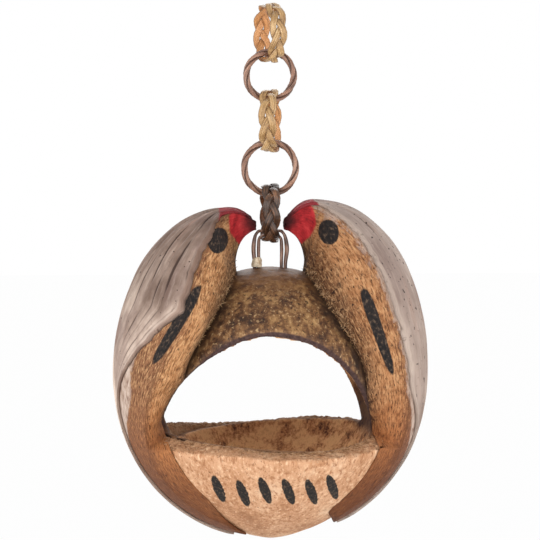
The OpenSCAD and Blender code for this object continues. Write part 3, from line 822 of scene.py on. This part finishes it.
skins = {}
for side, name in ((-1, "left_skin"), (1, "right_skin")):
    a = ring_angles(side, SKIN_UPPER_RINGS, SKIN_LOWER_RINGS)
    out, half = back_reach(side, a), skin_half(side, a)
    across = np.linspace(-1, 1, SKIN_COLS)
    ragged = RAGGED * lumps(trail(a), 0.03, 11 + side, 4)
    ragged = 1 + ragged[:, None] * np.abs(across) ** RAGGED_POWER
    fold = np.zeros((len(a), SKIN_COLS))
    for k, (line, depth) in enumerate(FOLDS[side]):
        drift = line + FOLD_DRIFT * lumps(trail(a, line), 0.3, 20 + k)
        off_line = (across - drift[:, None]) / (FOLD_HALF / np.maximum(half, 4))[:, None]
        broken = np.clip(0.7 + 0.9 * lumps(trail(a, line, 1), 0.12, 50 + k), 0, 1.2)
        fade = depth * broken * np.exp(-((a - FOLD_A) / FOLD_RUN) ** 2) * (a > FOLD_FROM_A)
        fold -= FOLD_DOWN * fade[:, None] * np.exp(-off_line ** 2)
        fold += FOLD_UP * fade[:, None] * np.exp(-(off_line / 4 - 0.7) ** 2)
    fold = np.clip(fold, FOLD_DEEPEST, FOLD_HIGHEST)
    top = arc_of(side, out, a, half, SKIN_COLS, ragged)
    low = arc_of(side, out - SKIN_T, a, half, SKIN_COLS, ragged)
    way = top - low
    way /= np.linalg.norm(way, axis=-1, keepdims=True)
    rings = np.concatenate([top + way * fold[..., None], low[:, ::-1]], 1)
    rim = np.broadcast_to(np.concatenate([np.abs(across), np.ones(SKIN_COLS)]), rings.shape[:2])
    marks = {"fold": np.concatenate([fold, fold * 0], 1), "rim": rim}
    skins[side] = loft(name + "_hide", rings, np.radians(a - BEAK_A) * SKIN_GRAIN_R, marks, side)
    p, n = spots_of(skins[side]), normals_of(skins[side])
    rough = HIDE_HIGH_M * lumps(p, HIDE_WIDE_M, 31 + side)
    knobs = TIP_HIGH_M * tip_share(side, p) * lumps(p, TIP_WIDE_M, 13 + side)
    lay_spots(skins[side], p + n * (rough + knobs)[:, None])

HIDE_SHADES = [(0.36, (0.5, 0.44, 0.41)), (0.46, (0.82, 0.78, 0.76)), (0.54, (1.05, 1.04, 1.03)),
               (0.64, (1.4, 1.45, 1.5))]
STAIN_GREY, STAIN_BROWN = (0.15, 0.09, 0.078), (0.3, 0.17, 0.12)
FINE_PALE, FINE_DARK = (0.6, 0.48, 0.4), (0.14, 0.08, 0.055)
VEIN_DARK, FOLD_SHADE, PORE_DARK = (0.11, 0.06, 0.042), (0.04, 0.022, 0.017), (0.05, 0.03, 0.024)
RUBBED_REDS = [(0.38, (0.09, 0.008, 0.01)), (0.5, (0.27, 0.02, 0.026)), (0.62, (0.46, 0.12, 0.13))]


def hide(side, red_r, high, low, cut, pits, stained):
    """Dried skin: brown above, paler below, with dark cracks, painted shade in its folds and red over the
    beak's end.
    """
    made, at, fill = new_finish("left_hide" if side < 0 else "right_hide", 0.7, specular=0.18)
    run = at.node("ShaderNodeUVMap", {"uv_map": "grain"}, {})
    fold, rim = at.mark("fold"), at.mark("rim")
    cloud = at.grain((36, 36, 26), detail=5, rough=0.6)
    stain = at.grain((24, 24, 17), detail=3, rough=0.55, shift=(3, 1, 6))
    vein = run.grain((130, 9, 1), detail=5, rough=0.62)
    fine = run.grain((900, 60, 1), detail=3, rough=0.6)
    speck = at.grain((330, 330, 330), detail=2, rough=0.5)
    x, z = at.part(0) * 1000.0, (at.part(2) - NUT_Z) * 1000.0
    pale = (cloud * 50.0 - z).step(-65, 28)
    tint = pale.over(high, low).times((cloud * 0.62 + vein * 0.38).spread(HIDE_SHADES))
    tint = ((stain + (fine - 0.5) * 0.2).step(0.46, 0.6) * stained).over(tint, STAIN_GREY)
    tint = ((vein * 0.6 + cloud * 0.4).step(0.5, 0.6) * stained).over(tint, STAIN_BROWN)
    tint = (fine.step(0.53, 0.7) * 0.25).over(tint, FINE_PALE)
    tint = ((1 - fine.step(0.34, 0.46)) * 0.3).over(tint, FINE_DARK)
    tint = ((1 - vein.step(0.31, 0.39)) * 0.6).over(tint, VEIN_DARK)
    # Painted shade in the grooves of the folds.
    tint = ((1 - (fold + (fine - 0.5) * 0.6).step(-0.65, -0.2)) * 0.9).over(tint, FOLD_SHADE)
    tint = (1 - speck.step(pits - 0.06, pits)).over(tint, PORE_DARK)
    edge = (rim + (fine - 0.5) * 0.06).step(0.955, 0.99)
    tint = (edge * 0.6).over(tint, cut)
    far = ((x - BEAK_TIP[side][0]) ** 2 + (z - BEAK_TIP[side][1]) ** 2) ** 0.5 + (fine - 0.5) * 2.5
    red = 1 - far.step(red_r - 0.5, red_r + 0.5)
    tint = red.over(tint, (vein * 0.6 + fine * 0.4).spread(RUBBED_REDS))
    tint = ((1 - far.step(2.5, TIP_REACH)) * 0.9).over(tint, BEAK_BLACK)
    fill(tint, vein * 0.4 + fine * 0.25 + speck * 0.35, 0.001, 1.0)
    return made


left_hide = hide(-1, red_r=20.5, high=(0.19, 0.128, 0.1), low=(0.76, 0.62, 0.52), cut=(0.17, 0.095, 0.065),
                 pits=0.31, stained=0.6)
right_hide = hide(1, red_r=18.5, high=(0.36, 0.28, 0.24), low=(0.53, 0.43, 0.36), cut=(0.46, 0.36, 0.3),
                  pits=0.36, stained=0.4)
dress(skins[-1], "feeder", left_hide, "left_skin")
dress(skins[1], "feeder", right_hide, "right_skin")

# The chain: split vine wound wet into closed loops and left to dry. The tan links are flat splints
# plaited three times round, the rings are twisted like rope, and the dark link is old bark, plaited.
def inputs_of(tree, wanted):
    """Adds a tree's named inputs and its geometry output, and returns a call for one of its inputs."""
    for name, kind in wanted:
        tree.interface.new_socket(name, in_out="INPUT", socket_type="NodeSocket" + kind)
    tree.interface.new_socket("Geometry", in_out="OUTPUT", socket_type="NodeSocketGeometry")
    way_in = tree.nodes.new("NodeGroupInput")
    return lambda name: Tone(tree, way_in.outputs[name])


def end_tree(tree, shape, finish):
    """Joins a tree's last shape to its output, as one real mesh in one material."""
    whole = shape.node("GeometryNodeRealizeInstances", {}, {"Geometry": shape})
    whole = whole.node("GeometryNodeSetMaterial", {}, {"Geometry": whole, "Material": finish})
    way_out = tree.nodes.new("NodeGroupOutput")
    tree.links.new(whole.socket, way_out.inputs["Geometry"])


def grow(name, tree, values, base=None):
    """Runs a tree once with the named values and keeps what it makes as a plain mesh."""
    made = bpy.data.objects.new(name, base or bpy.data.meshes.new(name))
    scene.collection.objects.link(made)
    run = made.modifiers.new("grow", "NODES")
    run.node_group = tree
    for socket in tree.interface.items_tree:
        if socket.in_out == "INPUT" and socket.name in values:
            run[socket.identifier] = values[socket.name]
    settle(made)
    return made


wound = bpy.data.node_groups.new("wound_strand", "GeometryNodeTree")
numbers = ("Ring Radius", "Turns", "Weaves", "Twist", "Plait", "Spread", "Rope", "Width", "Thick", "Wobble",
           "Seed", "Height", "Turn")
given = inputs_of(wound, [(name, "Float") for name in numbers] + [("Points", "Int"), ("Finish", "Material")])
loop = given("Points").node("GeometryNodeCurvePrimitiveCircle", {}, {"Resolution": given("Points")})
share = loop.node("GeometryNodeInputIndex", {}, {}) / given("Points")
round_turn = share * given("Turns") * math.tau
weave = share * given("Weaves") * math.tau
cos_w, sin_w = weave.maths("COSINE", weave), weave.maths("SINE", weave)
cos_r, sin_r = weave.maths("COSINE", round_turn), weave.maths("SINE", round_turn)
sin_2w = weave.maths("SINE", weave * 2.0)
reach = given("Ring Radius") + given("Twist") * cos_w + given("Plait") * sin_2w
spot = reach.vector(reach * cos_r, given("Spread") * sin_w, reach * sin_r)
own = given("Seed") + share * given("Turns") * 0.9
shake = spot.node("ShaderNodeTexNoise", {"noise_dimensions": "4D"},
                  {"Vector": spot, "W": own, "Scale": 130.0, "Detail": 1.0}, 1)
shake = spot.node("ShaderNodeVectorMath", {"operation": "SUBTRACT"}, {0: shake, 1: (0.5, 0.5, 0.5)})
shake = spot.node("ShaderNodeVectorMath", {"operation": "SCALE"}, {0: shake, "Scale": given("Wobble")})
spot = spot.node("ShaderNodeVectorMath", {"operation": "ADD"}, {0: spot, 1: shake})
loop = loop.node("GeometryNodeSetPosition", {}, {"Geometry": loop, "Position": spot})
lean = given("Rope") * cos_w + (1.0 - given("Rope"))
out_way = lean.vector(lean * cos_r, given("Rope") * sin_w, lean * sin_r)
loop = loop.node("GeometryNodeSetCurveNormal", {"mode": "FREE"}, {"Curve": loop, "Normal": out_way})
loop = loop.node("GeometryNodeStoreNamedAttribute", {"data_type": "FLOAT", "domain": "POINT"},
                 {"Geometry": loop, "Name": "along", "Value": share * given("Turns")})
strip = loop.node("GeometryNodeCurvePrimitiveCircle", {}, {"Resolution": 14, "Radius": 0.5})
for name, axis in (("outer", 0), ("across", 1)):
    place = strip.node("GeometryNodeInputPosition", {}, {}).part(axis)
    strip = strip.node("GeometryNodeStoreNamedAttribute", {"data_type": "FLOAT", "domain": "POINT"},
                       {"Geometry": strip, "Name": name, "Value": place})
strip_size = strip.vector(given("Thick"), given("Width"), 1.0)
strip = strip.node("GeometryNodeTransform", {}, {"Geometry": strip, "Scale": strip_size})
band = loop.node("GeometryNodeCurveToMesh", {}, {"Curve": loop, "Profile Curve": strip})
turned = band.vector(z=given("Turn"))
lifted = band.vector(z=given("Height"))
band = band.node("GeometryNodeTransform", {}, {"Geometry": band, "Rotation": turned, "Translation": lifted})
end_tree(wound, band, given("Finish"))


def vine(name, dark, mid, pale, inner, rough):
    """Split vine: streaks along each strand, dark edges, patches of bark and a raw inner side."""
    made, at, fill = new_finish(name, rough, specular=0.4)
    across = at.mark("across")
    lie = at.vector(across, at.mark("along"))
    streak = lie.grain((9, 5, 1), detail=4, rough=0.65)
    patch = at.grain((110, 110, 110), detail=3)
    tint = (streak * 0.55 + patch * 0.45).spread([(0.34, dark), (0.5, mid), (0.64, pale)])
    tint = (at.mark("outer").step(0.1, -0.1) * (0.2 + streak)).over(tint, inner)
    bark = (lie.grain((3, 3, 1), detail=2, shift=(4, 0, 0)) + (patch - 0.5) * 0.5).step(0.55, 0.68)
    tint = (bark * 0.55).over(tint, dark)
    rim = (across.maths("ABSOLUTE", across) * 2.0).step(0.72, 1.0)
    tint = (rim * 0.8).over(tint, dark)
    fill(tint, streak * 0.7 + patch * 0.3, 0.0005, 0.8)
    return made


tan_vine = vine("tan_vine", dark=(0.11, 0.045, 0.015), mid=(0.44, 0.265, 0.11), pale=(0.68, 0.5, 0.29),
                inner=(0.62, 0.27, 0.1), rough=0.42)
brown_vine = vine("brown_vine", dark=(0.05, 0.024, 0.016), mid=(0.26, 0.125, 0.075), pale=(0.5, 0.3, 0.21),
                  inner=(0.3, 0.12, 0.06), rough=0.32)
dark_vine = vine("dark_vine", dark=(0.008, 0.004, 0.003), mid=(0.045, 0.022, 0.013), pale=(0.36, 0.165, 0.08),
                 inner=(0.16, 0.06, 0.025), rough=0.3)
LINK = {"Turns": 3.0, "Weaves": 8.0, "Plait": 0.00101, "Spread": 0.0029, "Rope": 0.0, "Thick": 0.0011,
        "Width": 0.0036, "Wobble": 0.0006, "Points": 420}
RING = {"Turns": 3.0, "Weaves": 7.0, "Twist": 0.001, "Spread": 0.00104, "Rope": 1.0, "Thick": 0.0016,
        "Width": 0.0022, "Wobble": 0.0005, "Points": 360}
for node, kind, height, radius, degrees, finish, seed in (
        ("top_link", LINK, -0.0121793, 0.01396, 105, tan_vine, 1.0),
        ("upper_ring", RING, -0.0342914, 0.012241, 0, brown_vine, 8.0),
        ("middle_link", LINK, -0.0575035, 0.01484, 81, tan_vine, 9.0),
        ("lower_ring", RING, -0.0818157, 0.013341, 0, brown_vine, 4.0),
        ("dark_link", LINK, -0.105228, 0.01394, 90, dark_vine, 5.0)):
    values = {**kind, "Ring Radius": radius, "Height": height, "Turn": math.radians(degrees),
              "Finish": finish, "Seed": seed}
    dress(grow(node + "_vine", wound, values), node, finish, node)

# The tie: one brown vine, wound in two loops, one inside the other, round the dark link and down
# through two holes in the crown. Its own springiness holds it under the shell and bows its outer legs.
CROWN_Z = NUT_Z + SHELL_R
LEG_STEP = 0.0016
SWELL_FROM_STEP, BOW_FROM_STEP = 3, 4
LEG_BOW, LEG_BEND, LEG_SWELL = 0.0009, 0.0003, 0.0002
BEND_WIDE = 0.012
BARK_BROWNS = [(0.3, (0.035, 0.014, 0.008)), (0.5, (0.13, 0.055, 0.03)), (0.7, (0.32, 0.18, 0.12))]
tie = copy_of("hanger_tie", "tie_vine")
finer = tie.modifiers.new("finer", "SUBSURF")
finer.levels = 1
finer.render_levels = 1
settle(tie)
p, n = spots_of(tie), normals_of(tie)
leg = np.clip((p[:, 2] - CROWN_Z) / (p[:, 2].max() - CROWN_Z), 0, 1)
spring = np.sin(math.pi * leg) ** 2
outer_leg = np.clip(np.abs(p[:, 0]) / LEG_STEP - BOW_FROM_STEP, 0, 1)
p[:, 0] += np.sign(p[:, 0]) * outer_leg * (LEG_BOW * spring - LEG_BOW * leg ** 4)
p[:, 0] += LEG_BEND * spring * lumps(p, BEND_WIDE, 43)
p[:, 1] += 2 * LEG_BEND * spring * lumps(p, BEND_WIDE, 44)
swell = LEG_SWELL * np.clip(np.abs(p[:, 0]) / LEG_STEP - SWELL_FROM_STEP, 0, 1)
lay_spots(tie, p + n * swell[:, None])
bark, at, fill = new_finish("tie_bark", 0.3, specular=0.6)
streak = at.grain((700, 700, 160), detail=3)
fill(streak.spread(BARK_BROWNS), streak, 0.0003, 0.6)
dress(tie, "feeder", bark, "hanger_tie")

# The glue: one pale dab, pressed soft round the tie where it enters the left hole, so that the
# vine can't pull out. It dried in lumps.
GLUE_GRID = 0.0003
GLUE_SOFT = 6
GLUE_LUMP_HIGH, GLUE_LUMP_WIDE = 0.0005, 0.002
GLUE_CREAMS = [(0.35, (0.5, 0.35, 0.21)), (0.55, (0.78, 0.66, 0.48))]
glue = copy_of("glue_plug", "glue_dab")
even_out(glue, GLUE_GRID, GLUE_SOFT)
p, n = spots_of(glue), normals_of(glue)
lay_spots(glue, p + n * (GLUE_LUMP_HIGH * lumps(p, GLUE_LUMP_WIDE, 41))[:, None])
dry_glue, at, fill = new_finish("dry_glue", 0.5, specular=0.4)
fill(at.grain((700, 700, 700), detail=2).spread(GLUE_CREAMS))
dress(glue, "feeder", dry_glue, "glue_plug")

# Stray fibres: loose ends of husk that the knife left standing, thick in the creases between the
# birds and the shell and thinner on the bowl's sawn rim. Each is one bent hair of coir.
FIBRE_SPAN, RIM_FIBRE_SPAN = 0.0028, 0.0014
FIBRE_THICK, RIM_FIBRE_THICK = 0.00024, 0.00018
FIBRES_PER_M2, RIM_FIBRES_PER_M2 = 2.6e6, 2.2e5
FIBRE_LEAN, RIM_FIBRE_LEAN = 1.2, 1.5
SHORTEST, LONGEST = 0.4, 1.3
CREASE_FROM_A, CREASE_TO_A, CREASE_STEPS = 19, 66, 40
CREASE_FOOT, CREASE_TOP, CREASE_LIFT = 0.98, 0.84, 0.1
RIM_FRONT_Y, RIM_INNER_R, RIM_FACING = -0.02, 0.056, 0.2
COIR_BROWNS = [(0.36, (0.09, 0.04, 0.018)), (0.5, (0.3, 0.16, 0.075)), (0.64, (0.55, 0.36, 0.2))]
fuzz = bpy.data.node_groups.new("stray_fibres", "GeometryNodeTree")
given = inputs_of(fuzz, [("Bed", "Geometry"), ("Density", "Float"), ("Length", "Float"), ("Thick", "Float"),
                         ("Lean", "Float"), ("Seed", "Int"), ("Finish", "Material")])
bed = given("Bed").node("GeometryNodeDistributePointsOnFaces", {},
                        {"Mesh": given("Bed"), "Density": given("Density"), "Seed": given("Seed")})
stand = Tone(fuzz, bed.socket.node.outputs["Rotation"])
span = given("Length")
bend = span.vector(span * 0.1, 0.0, span * 0.55)
tip = span.vector(span * 0.75, span * 0.15, span * 0.7)
hair = span.node("GeometryNodeCurveQuadraticBezier", {},
                 {"Resolution": 5, "Start": (0, 0, 0), "Middle": bend, "End": tip})
thread = hair.node("GeometryNodeCurvePrimitiveCircle", {}, {"Resolution": 4, "Radius": given("Thick") * 0.5})
hair = hair.node("GeometryNodeCurveToMesh", {}, {"Curve": hair, "Profile Curve": thread})
lean = given("Lean")
least = lean.vector(lean * -1.0, lean * -1.0, -math.pi)
most = lean.vector(lean, lean, math.pi)
tip_over = lean.node("FunctionNodeRandomValue", {"data_type": "FLOAT_VECTOR"},
                     {0: least, 1: most, 8: given("Seed")})
stand = stand.node("FunctionNodeRotateRotation", {"rotation_space": "LOCAL"}, {0: stand, 1: tip_over})
some = lean.node("FunctionNodeRandomValue", {"data_type": "FLOAT"},
                 {2: SHORTEST, 3: LONGEST, 8: given("Seed") + 1.0}, 1)
hairs = bed.node("GeometryNodeInstanceOnPoints", {},
                 {"Points": bed, "Instance": hair, "Rotation": stand, "Scale": some})
end_tree(fuzz, hairs, given("Finish"))

coir, at, fill = new_finish("coir", 0.7, specular=0.25)
fill(at.grain((500, 500, 500), detail=2).spread(COIR_BROWNS))


def strip_mesh(name, lines):
    """A bed of narrow strips between pairs of lines."""
    spots, faces = [], []
    for one, other in lines:
        first = len(spots)
        spots += [tuple(v) for pair in zip(one, other) for v in pair]
        starts = range(first, first + 2 * len(one) - 2, 2)
        faces += [(i, i + 1, i + 3, i + 2) for i in starts]
    mesh = bpy.data.meshes.new(name)
    mesh.from_pydata(spots, [], faces)
    return mesh


lines = []
for side in (-1, 1):
    a = np.linspace(CREASE_FROM_A, CREASE_TO_A, CREASE_STEPS)
    r, y = flank(side, a, np.array((CREASE_FOOT, CREASE_TOP)))
    for way in (-1, 1):
        pair = [on_bird(side, r[:, k], a, way * (y[:, k] + CREASE_LIFT)) for k in (0, 1)]
        foot, brow = (spots / 1000 + np.array((0, 0, NUT_Z)) for spots in pair)
        lines.append((foot, brow) if side * way < 0 else (brow, foot))
crease_values = {"Density": FIBRES_PER_M2, "Length": FIBRE_SPAN, "Thick": FIBRE_THICK, "Lean": FIBRE_LEAN,
                 "Seed": 7, "Finish": coir}
crease = grow("crease_fibres", fuzz, crease_values, strip_mesh("crease_bed", lines))
dress(crease, "feeder", coir)

rim_bed = bpy.data.meshes.new("rim_bed")
rim_faces = [tuple(f.vertices) for f in bowl.data.polygons if f.normal.z > RIM_FACING
             and f.center.y < RIM_FRONT_Y and math.hypot(f.center.x, f.center.y) > RIM_INNER_R]
rim_bed.from_pydata([tuple(v.co) for v in bowl.data.vertices], [], rim_faces)
rim_values = {"Density": RIM_FIBRES_PER_M2, "Length": RIM_FIBRE_SPAN, "Thick": RIM_FIBRE_THICK,
              "Lean": RIM_FIBRE_LEAN, "Seed": 9, "Finish": coir}
rim = grow("rim_fibres", fuzz, rim_values, rim_bed)
dress(rim, "feeder", coir)

low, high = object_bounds()
